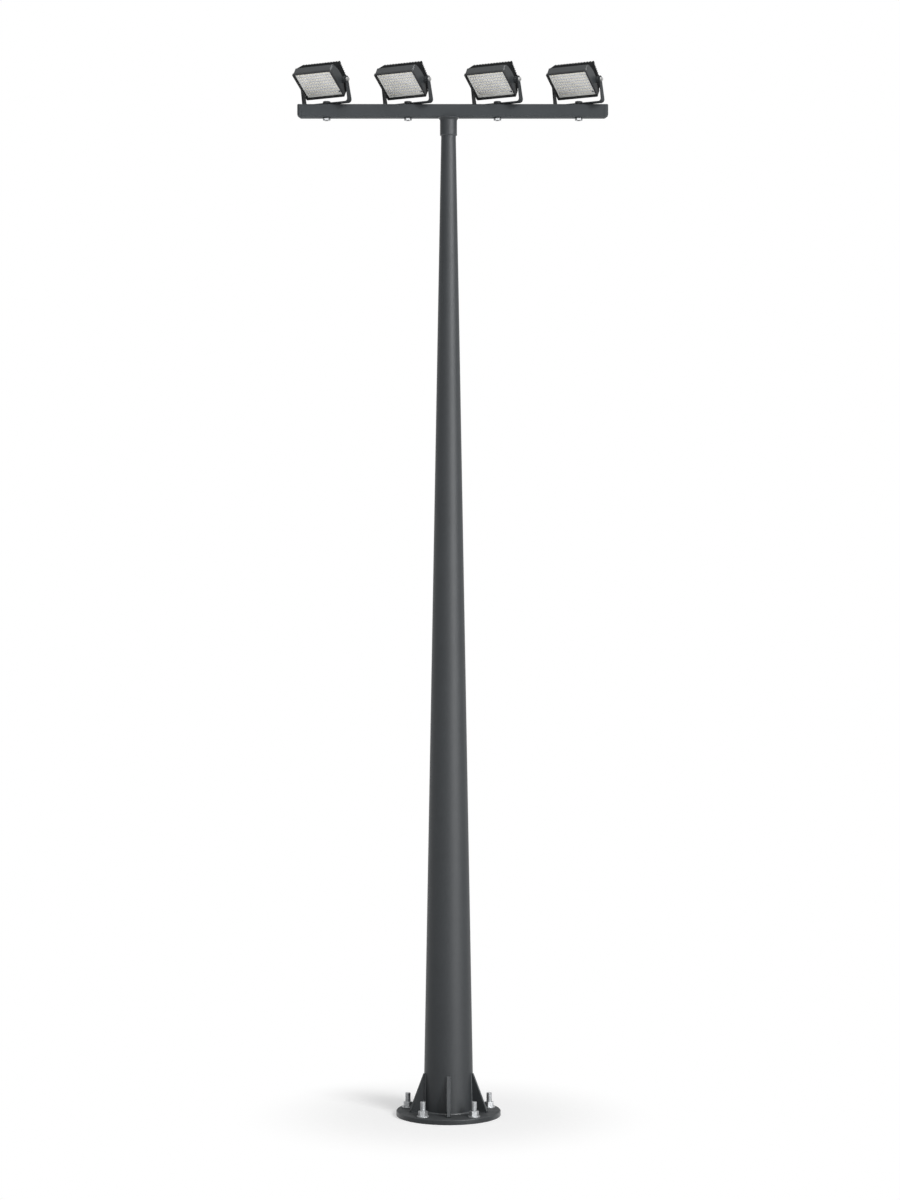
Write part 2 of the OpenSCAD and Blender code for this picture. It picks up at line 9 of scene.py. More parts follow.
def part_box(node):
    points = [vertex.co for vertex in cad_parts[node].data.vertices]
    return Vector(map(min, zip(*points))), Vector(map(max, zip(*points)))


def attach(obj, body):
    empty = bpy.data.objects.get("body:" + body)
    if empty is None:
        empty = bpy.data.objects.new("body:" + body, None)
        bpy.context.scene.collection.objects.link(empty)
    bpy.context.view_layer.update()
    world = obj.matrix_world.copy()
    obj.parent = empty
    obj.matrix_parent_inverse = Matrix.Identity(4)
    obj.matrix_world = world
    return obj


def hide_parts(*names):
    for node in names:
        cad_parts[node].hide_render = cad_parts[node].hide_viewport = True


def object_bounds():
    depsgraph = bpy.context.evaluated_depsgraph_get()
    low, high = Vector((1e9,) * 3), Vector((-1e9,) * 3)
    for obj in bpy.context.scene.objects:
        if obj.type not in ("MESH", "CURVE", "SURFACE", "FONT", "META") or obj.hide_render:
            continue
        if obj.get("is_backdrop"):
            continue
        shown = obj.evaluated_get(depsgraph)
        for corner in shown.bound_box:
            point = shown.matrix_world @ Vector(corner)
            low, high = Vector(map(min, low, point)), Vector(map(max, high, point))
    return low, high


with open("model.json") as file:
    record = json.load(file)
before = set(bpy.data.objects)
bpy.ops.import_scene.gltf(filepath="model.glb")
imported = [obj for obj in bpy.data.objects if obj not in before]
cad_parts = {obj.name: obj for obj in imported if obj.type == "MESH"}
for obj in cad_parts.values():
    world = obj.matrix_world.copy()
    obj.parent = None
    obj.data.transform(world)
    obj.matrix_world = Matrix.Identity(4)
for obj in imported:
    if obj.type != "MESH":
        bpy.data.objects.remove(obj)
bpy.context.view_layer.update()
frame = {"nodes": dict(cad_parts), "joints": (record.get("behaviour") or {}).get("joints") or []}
cad = frame["nodes"]


# Camera: level, half way up the mast and 30 m in front of it, with a long lens,
# so that the base plate and the lamps fill the height of an upright picture.
camera_data = bpy.data.cameras.new("camera")
camera_data.lens = 76.8
camera_data.sensor_width = 36
camera = bpy.data.objects.new("camera", camera_data)
camera.location = (0.0178, -30.43, 6.117)
camera.rotation_euler = (math.radians(90), 0, 0)
bpy.context.scene.collection.objects.link(camera)
bpy.context.scene.camera = camera


# Base plate: a round steel plate, flame cut, turned to a bevel at its rim and drilled.
# It is powder coated with the mast in a satin anthracite grey, which has a fine
# orange peel; dust settles on what faces up, and on the plate's top the layer is darker and duller.
def feed(tree, node, sockets):
    for name, value in sockets.items():
        if isinstance(value, bpy.types.NodeSocket):
            tree.links.new(value, node.inputs[name])
        else:
            node.inputs[name].default_value = value


def put(tree, kind, sockets=(), **settings):
    node = tree.nodes.new("ShaderNode" + kind)
    for name, value in settings.items():
        setattr(node, name, value)
    feed(tree, node, dict(sockets))
    return node


def effect(name, inputs, outputs):
    group = bpy.data.node_groups.new(name, "ShaderNodeTree")
    for label, kind, value in inputs:
        socket = group.interface.new_socket(label, in_out="INPUT", socket_type="NodeSocket" + kind)
        socket.default_value = value
    for label, kind in outputs:
        group.interface.new_socket(label, in_out="OUTPUT", socket_type="NodeSocket" + kind)
    given = group.nodes.new("NodeGroupInput").outputs
    made = group.nodes.new("NodeGroupOutput").inputs
    return group, given, made


def spread(tree, value, low, high, start=0.0, end=1.0):
    sockets = {"Value": value, "From Min": low, "From Max": high, "To Min": start, "To Max": end}
    return put(tree, "MapRange", sockets).outputs[0]


def maths(tree, operation, *values):
    return put(tree, "Math", dict(enumerate(values)), operation=operation).outputs[0]


def noise(tree, where, scale, detail, roughness=0.5):
    sockets = {"Vector": where, "Scale": scale, "Detail": detail, "Roughness": roughness}
    return put(tree, "TexNoise", sockets).outputs[0]


def scaled(tree, colour, level):
    return put(tree, "VectorMath", {0: colour, "Scale": level}, operation="SCALE").outputs[0]


def mixed(tree, share, one, two):
    return put(tree, "Mix", {"Factor": share, 6: one, 7: two}, data_type="RGBA").outputs[2]


grey = (0.05, 0.05, 0.05, 1)
coat_skin, given, made = effect(
    "powder coat skin",
    [
        ("Colour", "Color", grey),
        ("Roughness", "Float", 0.5),
        ("Mottle", "Float", 0.08),
        ("Grain", "Float", 420.0),
    ],
    [("Colour", "Color"), ("Roughness", "Float"), ("Height", "Float")],
)
where = put(coat_skin, "TexCoord").outputs["Object"]
clouds = noise(coat_skin, where, 2.4, 5, 0.6)
smears = noise(coat_skin, where, 26, 4, 0.65)
peel = noise(coat_skin, where, given["Grain"], 2)
broad = spread(coat_skin, clouds, 0.3, 0.7, -0.6, 0.6)
small = spread(coat_skin, smears, 0.3, 0.7, -0.4, 0.4)
level = maths(coat_skin, "MULTIPLY_ADD", maths(coat_skin, "ADD", broad, small), given["Mottle"], 1.0)
rubbed = spread(coat_skin, smears, 0.3, 0.7, -0.05, 0.05)
coat_skin.links.new(scaled(coat_skin, given["Colour"], level), made["Colour"])
coat_skin.links.new(maths(coat_skin, "ADD", rubbed, given["Roughness"]), made["Roughness"])
coat_skin.links.new(peel, made["Height"])

# dust settles on what faces up; the same layer, set to the gussets' slopes in a pale grey, is a painted
# highlight there
dust_and_highlight, given, made = effect(
    "settled dust and painted highlight",
    [
        ("Colour", "Color", grey),
        ("Roughness", "Float", 0.5),
        ("Lacquer", "Float", 0.0),
        ("Amount", "Float", 0.3),
        ("Steepest", "Float", 0.55),
        ("Flattest", "Float", 1.0),
        ("Upward Colour", "Color", (0.22, 0.215, 0.20, 1)),
    ],
    [("Colour", "Color"), ("Roughness", "Float"), ("Lacquer", "Float")],
)
where = put(dust_and_highlight, "TexCoord").outputs["Object"]
normal = put(dust_and_highlight, "NewGeometry").outputs["Normal"]
upward = put(dust_and_highlight, "SeparateXYZ", {0: normal}).outputs[2]
facing_up = spread(dust_and_highlight, upward, given["Steepest"], given["Flattest"])
patches = spread(dust_and_highlight, noise(dust_and_highlight, where, 9, 6, 0.6), 0.3, 0.75, 0.5, 1.0)
dust_and_highlight_share = maths(dust_and_highlight, "MULTIPLY", maths(dust_and_highlight, "MULTIPLY", facing_up, patches), given["Amount"])
dust_and_highlight_colour = mixed(dust_and_highlight, dust_and_highlight_share, given["Colour"], given["Upward Colour"])
dry = put(dust_and_highlight, "Mix", {"Factor": dust_and_highlight_share, 2: given["Roughness"], 3: 0.9}).outputs[0]
dust_and_highlight.links.new(dust_and_highlight_colour, made["Colour"])
dust_and_highlight.links.new(dry, made["Roughness"])
bare = maths(dust_and_highlight, "SUBTRACT", 1.0, dust_and_highlight_share)
dust_and_highlight.links.new(maths(dust_and_highlight, "MULTIPLY", bare, given["Lacquer"]), made["Lacquer"])


def finish_of(name):
    material = bpy.data.materials.new(name)
    material.use_nodes = True
    return material, material.node_tree, material.node_tree.nodes["Principled BSDF"].inputs


def use(tree, group, sockets):
    node = tree.nodes.new("ShaderNodeGroup")
    node.node_tree = group
    feed(tree, node, sockets)
    return node.outputs


def powder_coat(
    name, colour, roughness, *layers, mottle=0.10, grain=420, peel_depth=0.0006, gloss=0.25, lacquer=0.0
):
    # each layer is a group laid over the coat, with its own values
    material, tree, surface = finish_of(name)
    coat = {"Colour": (*colour, 1), "Roughness": roughness, "Mottle": mottle, "Grain": grain}
    skin = use(tree, coat_skin, coat)
    top = {"Colour": skin["Colour"], "Roughness": skin["Roughness"], "Lacquer": lacquer}
    for group, values in layers:
        under = {socket: top[socket] for socket in ("Colour", "Roughness", "Lacquer")}
        top = use(tree, group, {**under, **values})
    if lacquer:
        tree.links.new(top["Lacquer"], surface["Coat Weight"])
        surface["Coat Roughness"].default_value = 0.40
    bump = put(tree, "Bump", {"Height": skin["Height"], "Strength": 0.35, "Distance": peel_depth})
    tree.links.new(top["Colour"], surface["Base Color"])
    tree.links.new(top["Roughness"], surface["Roughness"])
    tree.links.new(bump.outputs[0], surface["Normal"])
    surface["Specular IOR Level"].default_value = gloss
    return material


def wear(material, *names):
    for name in names:
        cad[name].data.materials.clear()
        cad[name].data.materials.append(material)


def ease_edges(width, *names):
    # flat faces are made whole before their edges are rounded
    for name in names:
        weld = cad[name].modifiers.new("weld", "WELD")
        weld.merge_threshold = 0.0002
        flat = cad[name].modifiers.new("flat faces", "DECIMATE")
        flat.decimate_type = "DISSOLVE"
        flat.angle_limit = math.radians(0.6)
        edge = cad[name].modifiers.new("eased edges", "BEVEL")
        edge.width = width
        edge.segments = 2
        edge.limit_method = "ANGLE"
        edge.angle_limit = math.radians(28)
        edge.use_clamp_overlap = False
        smooth = cad[name].modifiers.new("flat shading", "WEIGHTED_NORMAL")
        smooth.weight = 60


# the plate's top is laid darker and duller than its coat
darker_duller_top = {"Amount": 1.0, "Upward Colour": (0.025, 0.0275, 0.0293, 1)}
plate_coat = powder_coat(
    "anthracite_plate_coat",
    (0.033, 0.0368, 0.0397),
    0.31,
    (dust_and_highlight, darker_duller_top),
    mottle=0.12,
    gloss=0.27,
)
wear(plate_coat, "base_plate")
ease_edges(0.0015, "base_plate")


# Gussets: five flame cut triangles of thick plate, coped over the foot weld.
# A fillet weld runs down both sides of each, on the pole and on the plate, under the coat.
# The gussets' coat is the mast's grey darkened as painted shade, and their sloping outer
# edges get a pale grey as a painted highlight.
thin_dust = {"Amount": 0.12}
# painted highlight: a pale grey laid on the gussets' sloping edges
painted_slope_highlight = {"Amount": 0.40, "Steepest": 0.15, "Flattest": 0.38, "Upward Colour": (0.25, 0.264, 0.276, 1)}
mast_coat = powder_coat(
    "anthracite_mast_coat", (0.036, 0.040, 0.0435), 0.48, (dust_and_highlight, thin_dust)
)
# painted shade: the gussets' coat is a darker copy of the mast's grey
shaded_gusset_coat = powder_coat(
    "anthracite_gusset_coat_painted_shade", (0.026, 0.029, 0.0315), 0.52, (dust_and_highlight, painted_slope_highlight), gloss=0.12
)
gussets = [f"gusset_{number}" for number in range(1, 6)]
wear(shaded_gusset_coat, *gussets)
ease_edges(0.004, *gussets)


def mesh_piece(name, bm, material, body):
    mesh = bpy.data.meshes.new(name)
    bmesh.ops.recalc_face_normals(bm, faces=bm.faces)
    bm.to_mesh(mesh)
    bm.free()
    mesh.polygons.foreach_set("use_smooth", [True] * len(mesh.polygons))
    mesh.set_sharp_from_angle(angle=math.radians(38))
    for finish in material if isinstance(material, list) else [material]:
        mesh.materials.append(finish)
    piece = bpy.data.objects.new(name, mesh)
    bpy.context.scene.collection.objects.link(piece)
    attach(piece, body)
    return piece


def join_rings(bm, rings, closed):
    # quads between each ring of points and the next, with ends unless the rings close
    following = rings[1:] + rings[:1] if closed else rings[1:]
    for one, two in zip(rings, following):
        for k in range(len(one)):
            bm.faces.new((one[k - 1], one[k], two[k], two[k - 1]))
    if not closed:
        bm.faces.new(rings[0])
        bm.faces.new(rings[-1])


def uneven(step):
    # from -0.5 to 0.5, never the same at neighbouring steps of a weld
    return (step * 0.37) % 1.0 - 0.5


def lay_bead(bm, path, leg, closed=False):
    # path: corner, direction along one plate and direction along the other, at each step
    ripple, bulge, root = 0.11, 0.16, 0.15
    rings = []
    for step, (corner, along, rising) in enumerate(path):
        size = leg * (1 + ripple * uneven(step))
        ring = []
        for share in (0.0, 0.22, 0.5, 0.78, 1.0):
            crown = bulge * math.sin(math.pi * share)
            point = corner + along * size * (1 - share + crown) + rising * size * (share + crown)
            ring.append(bm.verts.new(point))
        ring.append(bm.verts.new(corner - (along + rising) * leg * root))
        rings.append(ring)
    join_rings(bm, rings, closed)


up = Vector((0, 0, 1))
plate_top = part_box("base_plate")[1].z
foot_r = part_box("pole")[1].x
socket_low, socket_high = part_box("arm_socket")
pole_top_r = 0.0875
taper = (foot_r - pole_top_r) / (socket_low.z - plate_top)
cope, gusset_half, gusset_out, gusset_high = 0.034, 0.020, 0.482, 0.450
bead_step, bead_end = 0.0035, 0.003
plate_leg, pole_leg = 0.011, 0.010
fifth_turn, first_gusset, first_stud = 72, -90, -54
on_plate, on_pole = bmesh.new(), bmesh.new()
for gusset in range(5):
    turn = Matrix.Rotation(math.radians(first_gusset + fifth_turn * gusset), 3, "Z")
    out = turn @ Vector((1, 0, 0))
    for side in (-1, 1):
        across = turn @ Vector((0, side, 0))
        edge = across * gusset_half + up * plate_top
        run = gusset_out - foot_r - cope
        steps = int(run / bead_step)
        reach = [foot_r + cope + bead_end + (run - 2 * bead_end) * k / steps for k in range(steps + 1)]
        lay_bead(on_plate, [(out * r + edge, across, up) for r in reach], plate_leg)
        rise = gusset_high - cope
        steps = int(rise / bead_step)
        height = [cope + bead_end + (rise - 2 * bead_end) * k / steps for k in range(steps + 1)]
        rising = []
        for z in height:
            r = math.sqrt((foot_r - taper * z) ** 2 - gusset_half**2)
            rising.append((out * r + edge + up * z, across, out))
        lay_bead(on_pole, rising, pole_leg)
little_dust = {"Amount": 0.06}
# the welds' coat is a lighter grey than the mast's
weld_coat = powder_coat(
    "coated_weld",
    (0.075, 0.081, 0.086),
    0.30,
    (dust_and_highlight, {"Amount": 0.16}),
    grain=300,
    peel_depth=0.0008,
)
mesh_piece("gusset_welds", on_pole, weld_coat, "mast")
# painted shade: the welds at the gussets' feet take the gussets' darkened grey
shaded_foot_weld_coat = powder_coat(
    "coated_foot_weld_painted_shade",
    (0.026, 0.029, 0.0315),
    0.50,
    (dust_and_highlight, little_dust),
    grain=300,
    peel_depth=0.0008,
    gloss=0.06,
)
mesh_piece("gusset_foot_welds", on_plate, shaded_foot_weld_coat, "mast")


# Anchor set: studs cast into the foundation, hot dip galvanised, with a coarse thread
# up to their ends, a heavy round washer and one hexagon nut each.
zinc_spangle, given, made = effect(
    "zinc spangle",
    [("Colour", "Color", (0.6, 0.6, 0.6, 1)), ("Roughness", "Float", 0.35), ("Crystal", "Float", 110.0)],
    [("Colour", "Color"), ("Roughness", "Float"), ("Height", "Float")],
)
where = put(zinc_spangle, "TexCoord").outputs["Object"]
bent = put(zinc_spangle, "TexNoise", {"Vector": where, "Scale": 60, "Detail": 3}).outputs[1]
warp = {0: bent, 1: (0.008, 0.008, 0.008), 2: where}
warped = put(zinc_spangle, "VectorMath", warp, operation="MULTIPLY_ADD").outputs[0]
crystals = put(zinc_spangle, "TexVoronoi", {"Vector": warped, "Scale": given["Crystal"]}).outputs["Color"]
tint = put(zinc_spangle, "SeparateColor", {0: crystals}).outputs[0]
film = noise(zinc_spangle, where, 18, 6, 0.7)
shade = spread(zinc_spangle, tint, 0, 1, 0.82, 1.1)
cover = spread(zinc_spangle, film, 0.3, 0.75, 1.06, 0.78)
level = maths(zinc_spangle, "MULTIPLY", shade, cover)
dulled = spread(zinc_spangle, film, 0.3, 0.75, -0.06, 0.14)
zinc_spangle.links.new(scaled(zinc_spangle, given["Colour"], level), made["Colour"])
zinc_spangle.links.new(maths(zinc_spangle, "ADD", dulled, given["Roughness"]), made["Roughness"])
zinc_spangle.links.new(film, made["Height"])


def zinc(name, colour, roughness, crystal):
    material, tree, surface = finish_of(name)
    skin = use(tree, zinc_spangle, {"Colour": (*colour, 1), "Roughness": roughness, "Crystal": crystal})
    bump = put(tree, "Bump", {"Height": skin["Height"], "Strength": 0.2, "Distance": 0.0008})
    surface["Metallic"].default_value = 0.75
    tree.links.new(skin["Colour"], surface["Base Color"])
    tree.links.new(skin["Roughness"], surface["Roughness"])
    tree.links.new(bump.outputs[0], surface["Normal"])
    return material


galvanised = zinc("galvanised_steel", (0.44, 0.45, 0.46), 0.38, crystal=110)
wear(galvanised, "anchor_washers", "anchor_nuts")
ease_edges(0.0015, "anchor_washers")
ease_edges(0.0006, "anchor_nuts")


def cut_thread(bm, foot, radius, root, pitch, length, sides):
    # four rings to each turn, two at the thread's root and two at its crest, past both ends
    angles = [2 * math.pi * k / sides for k in range(sides)]
    about = [Vector((math.cos(angle), math.sin(angle), 0)) for angle in angles]
    rings = []
    for step in range(4 * (int(length / pitch) + 3) + 1):
        r = radius if step % 4 in (2, 3) else root
        ring = []
        for side in range(sides):
            z = pitch * (step / 4 - 1 + side / sides)
            ring.append(bm.verts.new(foot + about[side] * r + up * z))
        rings.append(ring)
    for step in range(len(rings) - 1):
        low, high = rings[step], rings[step + 1]
        for side in range(sides - 1):
            bm.faces.new((low[side], low[side + 1], high[side + 1], high[side]))
        if step + 5 < len(rings):
            bm.faces.new((low[-1], rings[step + 4][0], rings[step + 5][0], high[-1]))


def trim_level(bm, z, keep_below):
    # everything past the height is cut away, and the cut is closed
    whole = bm.verts[:] + bm.edges[:] + bm.faces[:]
    outward = up if keep_below else -up
    cut = bmesh.ops.bisect_plane(bm, geom=whole, plane_co=up * z, plane_no=outward, clear_outer=True)
    rim = [edge for edge in cut["geom_cut"] if isinstance(edge, bmesh.types.BMEdge)]
    bmesh.ops.edgeloop_fill(bm, edges=rim)


stud_circle_r, stud_r, thread_pitch, thread_start = 0.509, 0.032, 0.006, 0.03
thread_depth, thread_sides = 0.58 * thread_pitch, 36
thread_root = stud_r - thread_depth
chamfer, overlap = 0.003, 0.001
stud_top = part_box("anchor_studs")[1].z
nut_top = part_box("anchor_nuts")[1].z
thread_low, thread_high = nut_top - thread_start, stud_top - chamfer
stud_feet = []
bm = bmesh.new()
for stud in range(5):
    turn = Matrix.Rotation(math.radians(first_stud + fifth_turn * stud), 3, "Z")
    foot = turn @ Vector((stud_circle_r, 0, thread_low))
    cut_thread(bm, foot, stud_r, thread_root, thread_pitch, thread_high - thread_low, thread_sides)
    stud_feet.append(foot)
trim_level(bm, thread_low, keep_below=False)
trim_level(bm, thread_high, keep_below=True)
for foot in stud_feet:
    # the bevelled end is sunk a little into the thread
    middle = foot + up * ((thread_high + stud_top - overlap) / 2 - thread_low)
    bmesh.ops.create_cone(
        bm,
        cap_ends=True,
        segments=thread_sides,
        radius1=stud_r,
        radius2=thread_root - overlap,
        depth=chamfer + overlap,
        matrix=Matrix.Translation(middle),
    )
studs = mesh_piece("threaded_studs", bm, galvanised, "mast")
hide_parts("anchor_studs")


# Pole: sheet steel rolled to a cone and welded along one seam at the back,
# which is ground low. It stands on the plate and carries the same coat.
wear(mast_coat, "pole")
seam_half, seam_high, seam_step, seam_swell = 0.008, 0.0022, 0.02, 0.25
foot_weld_clear, socket_clear = 0.016, 0.008
seam_low, seam_top = plate_top + foot_weld_clear, socket_low.z - socket_clear
steps = int((seam_top - seam_low) / seam_step)
rings = []
bm = bmesh.new()
for step in range(steps + 1):
    z = seam_low + (seam_top - seam_low) * step / steps
    r = foot_r - taper * (z - plate_top)
    swell = 1 + seam_swell * uneven(step)
    ring = []
    for across, lift in ((-1, -0.6), (-0.6, 0.7), (0, 1), (0.6, 0.7), (1, -0.6), (0, -1.5)):
        ring.append(bm.verts.new(Vector((across * seam_half * swell, r + lift * seam_high, z))))
    rings.append(ring)
join_rings(bm, rings, closed=False)
mesh_piece("pole_seam", bm, weld_coat, "mast")


# Foot weld: a fillet run all round between pole and plate, ripples showing,
# in a coat lighter than the mast's.
def round_bead(bm, radius, z, rise, leg, steps):
    ring = []
    for k in range(steps):
        angle = 2 * math.pi * k / steps
        out = Vector((math.cos(angle), math.sin(angle), 0))
        ring.append((out * radius + up * z, out, up * rise))
    lay_bead(bm, ring, leg, closed=True)


bm = bmesh.new()
round_bead(bm, foot_r, plate_top, rise=1, leg=0.0145, steps=520)
foot_weld = mesh_piece("foot_weld_bead", bm, weld_coat, "mast")
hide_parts("foot_weld_ring")


# Arm socket: a short tube sleeved over the pole's end, flared to a round pad.
# One fillet joins its lower end to the pole and another its pad to the crossarm.
wear(mast_coat, "arm_socket")
bm = bmesh.new()
round_bead(bm, pole_top_r, socket_low.z, rise=-1, leg=0.010, steps=170)
round_bead(bm, socket_high.x, socket_high.z, rise=-1, leg=0.007, steps=220)
mesh_piece("socket_welds", bm, weld_coat, "mast")


# Crossarm and end caps: square box section, and caps of the same sheet let into its ends,
# with bevelled corners and a slanted lower edge.
# painted light: the arm and its caps take a lighter copy of the mast's grey, for the light on the arm's face
lit_arm_coat = powder_coat(
    "anthracite_arm_coat_painted_light", (0.054, 0.060, 0.065), 0.68, (dust_and_highlight, thin_dust), gloss=0.12
)
wear(lit_arm_coat, "crossarm", "end_cap_left", "end_cap_right")
ease_edges(0.003, "end_cap_left", "end_cap_right")


# Swivel set: one bolt for each lamp, down through the yoke and the arm, with a clamp
# disc under its head, washers above and below the arm, and a zinc plated nut.
wear(galvanised, "swivel_nuts")
ease_edges(0.001, "swivel_nuts")
for lamp in range(1, 5):
    wear(mast_coat, f"swivel_bolt_{lamp}")
    ease_edges(0.0012, f"swivel_bolt_{lamp}")
wear(mast_coat, "swivel_washers")
ease_edges(0.001, "swivel_washers")


# Yokes: flat bar bent to a U, legs raked forward, with an eye at the end of each leg.
# They are coated like the mast.
yoke_coat = powder_coat(
    "anthracite_yoke_coat", (0.033, 0.0365, 0.0395), 0.55, (dust_and_highlight, {"Amount": 0.08}), gloss=0.14
)
for lamp in range(1, 5):
    wear(yoke_coat, f"yoke_{lamp}")
    ease_edges(0.0018, f"yoke_{lamp}")


# Housings: pressure die cast, with a fine textured grey coat; the cooling fins, which
# carry the heat away, are matt and painted near black as painted shade.
lamp_tilt, face_before_pivot, face_above_pivot = 56, 0.140, 0.071


def lamp_frame(lamp):
    # origin in the middle of the bezel's face, x across, y to the rear, z up the face
    tilt = [joint for joint in frame["joints"] if joint["child"] == f"lamp_{lamp}"][0]
    yaw = math.atan2(tilt["axis"][1], tilt["axis"][0])
    return (
        Matrix.Translation(tilt["pos_m"])
        @ Matrix.Rotation(yaw, 4, "Z")
        @ Matrix.Rotation(math.radians(lamp_tilt), 4, "X")
        @ Matrix.Translation((0, -face_before_pivot, face_above_pivot))
    )


# the side panels end in an arc, and the fins stand behind it, painted near black as painted shade;
# under the bosses this painted shadow reaches forward to the bezel's lower corner, where the gap to the yoke
# leg lies in shade
rear = lamp_frame(1).to_3x3() @ Vector((0, 1, 0))
face_up = lamp_frame(1).to_3x3() @ Vector((0, 0, 1))
back_r, back_depth, back_rise = 0.4069, 0.163, 0.015
fin_start, fin_full = back_r + 0.001, back_r + 0.006
down_back, slant_at = (0.790, -0.613, 0), 0.360
boss_place, boss_r = (0.3839, -0.086, 0), 0.040
soft_edge = 0.004
fin_and_gap_shade, given, made = effect(
    "painted fin and gap shade",
    [
        ("Colour", "Color", grey),
        ("Roughness", "Float", 0.5),
        ("Lacquer", "Float", 0.0),
        ("Depth", "Float", 0.0),
        ("Height", "Float", 0.0),
    ],
    [("Colour", "Color"), ("Roughness", "Float"), ("Lacquer", "Float")],
)
where = put(fin_and_gap_shade, "TexCoord").outputs["Object"]
depth = put(fin_and_gap_shade, "VectorMath", {0: where, 1: rear}, operation="DOT_PRODUCT").outputs["Value"]
height = put(fin_and_gap_shade, "VectorMath", {0: where, 1: face_up}, operation="DOT_PRODUCT").outputs["Value"]
depth = maths(fin_and_gap_shade, "SUBTRACT", depth, given["Depth"])
height = maths(fin_and_gap_shade, "SUBTRACT", height, given["Height"])
from_middle = put(fin_and_gap_shade, "CombineXYZ", {0: depth, 1: height}).outputs[0]
radius = put(fin_and_gap_shade, "VectorMath", {0: from_middle}, operation="LENGTH").outputs["Value"]
shaded_fins = spread(fin_and_gap_shade, radius, fin_start, fin_full)
slant = {0: from_middle, 1: down_back}
slanted = put(fin_and_gap_shade, "VectorMath", slant, operation="DOT_PRODUCT").outputs["Value"]
boss = {0: from_middle, 1: boss_place}
from_boss = put(fin_and_gap_shade, "VectorMath", boss, operation="DISTANCE").outputs["Value"]
under_slant = spread(fin_and_gap_shade, slanted, slant_at, slant_at + soft_edge)
off_boss = spread(fin_and_gap_shade, from_boss, boss_r, boss_r + soft_edge)
gap_shadow = maths(fin_and_gap_shade, "MULTIPLY", under_slant, off_boss)
painted_shade = maths(fin_and_gap_shade, "MAXIMUM", shaded_fins, gap_shadow)
# painted shade: near black on the fins and in the shadowed gap under the bosses
fin_and_gap_shade.links.new(mixed(fin_and_gap_shade, painted_shade, given["Colour"], (0.017, 0.018, 0.019, 1)), made["Colour"])
matt = put(fin_and_gap_shade, "Mix", {"Factor": painted_shade, 2: given["Roughness"], 3: 0.70}).outputs[0]
fin_and_gap_shade.links.new(matt, made["Roughness"])
dull = put(fin_and_gap_shade, "Mix", {"Factor": painted_shade, 2: given["Lacquer"], 3: 0.05}).outputs[0]
fin_and_gap_shade.links.new(dull, made["Lacquer"])
for lamp in range(1, 5):
    arc_middle = lamp_frame(lamp) @ Vector((0, back_depth - back_r, back_rise))
    fin_shade_centre = {"Depth": rear.dot(arc_middle), "Height": face_up.dot(arc_middle)}
    casting_coat = powder_coat(
        f"casting_coat_{lamp}",
        (0.036, 0.040, 0.043),
        0.55,
        (fin_and_gap_shade, fin_shade_centre),
        (dust_and_highlight, little_dust),
        mottle=0.08,
        grain=900,
        peel_depth=0.0005,
        gloss=0.0,
        lacquer=0.60,
    )
    wear(casting_coat, f"housing_{lamp}")
    ease_edges(0.0012, f"housing_{lamp}")


# Bezels: cast frames with the same texture in black, screwed to the housings
# by small sunk socket screws, five along the top and bottom and two up each side.
bezel_coat = powder_coat(
    "black_bezel_coat",
    (0.018, 0.0195, 0.021),
    0.42,
    (dust_and_highlight, little_dust),
    mottle=0.08,
    grain=900,
    peel_depth=0.0005,
)


def plain(name, colour, roughness, speckle, scale, metallic=0.0):
    material, tree, surface = finish_of(name)
    where = put(tree, "TexCoord").outputs["Object"]
    grain = spread(tree, noise(tree, where, scale, 4), 0.3, 0.7)
    dark = (*(c * (1 - speckle) for c in colour), 1)
    light = (*(c * (1 + speckle) for c in colour), 1)
    tree.links.new(mixed(tree, grain, dark, light), surface["Base Color"])
    surface["Roughness"].default_value = roughness
    surface["Metallic"].default_value = metallic
    return material


def set_screw(bm, place, x, y, z, head_r, head_high, socket_r):
    # a domed head with a hexagon socket, facing the front of the lamp
    points_round = 24

    def ring(r, lift, hexagon=False):
        points = []
        for k in range(points_round):
            angle = 2 * math.pi * k / points_round
            reach = r
            if hexagon:
                reach = r * math.cos(math.pi / 6) / math.cos((angle % (math.pi / 3)) - math.pi / 6)
            point = Vector((x + reach * math.cos(angle), y - lift, z + reach * math.sin(angle)))
            points.append(bm.verts.new(place @ point))
        return points

    rings = [
        ring(head_r, -0.001),
        ring(head_r, head_high * 0.45),
        ring(head_r * 0.86, head_high * 0.85),
        ring(head_r * 0.66, head_high),
        ring(socket_r, head_high, hexagon=True),
        ring(socket_r, head_high - socket_r * 0.9, hexagon=True),
    ]
    join_rings(bm, rings, closed=False)


black_screw = plain(
    "blackened_screw", (0.028, 0.028, 0.030), 0.38, speckle=0.2, scale=500, metallic=0.5
)
rim_x, rim_z = 0.252, 0.207
screw_places = [(x, z) for x in (-0.208, -0.104, 0, 0.104, 0.208) for z in (-rim_z, rim_z)]
screw_places += [(x, z) for x in (-rim_x, rim_x) for z in (-0.1, 0.1)]
for lamp in range(1, 5):
    wear(bezel_coat, f"bezel_{lamp}")
    ease_edges(0.0022, f"bezel_{lamp}")
    bm = bmesh.new()
    for x, z in screw_places:
        set_screw(bm, lamp_frame(lamp), x, 0, z, head_r=0.0046, head_high=0.0012, socket_r=0.0022)
    mesh_piece(f"bezel_screws_{lamp}", bm, black_screw, f"lamp_{lamp}")


# LED panels: a white coated board behind the glass, with rows of lensed diodes, a white
# pressed frame that slopes in to it all round, and one dark earthing screw in the place of
# a corner diode. The lenses are drawn opaque, and their rims' bluish grey is painted shade
# of the clear optic.
board = plain("white_board", (0.76, 0.75, 0.75), 0.55, speckle=0.02, scale=60)
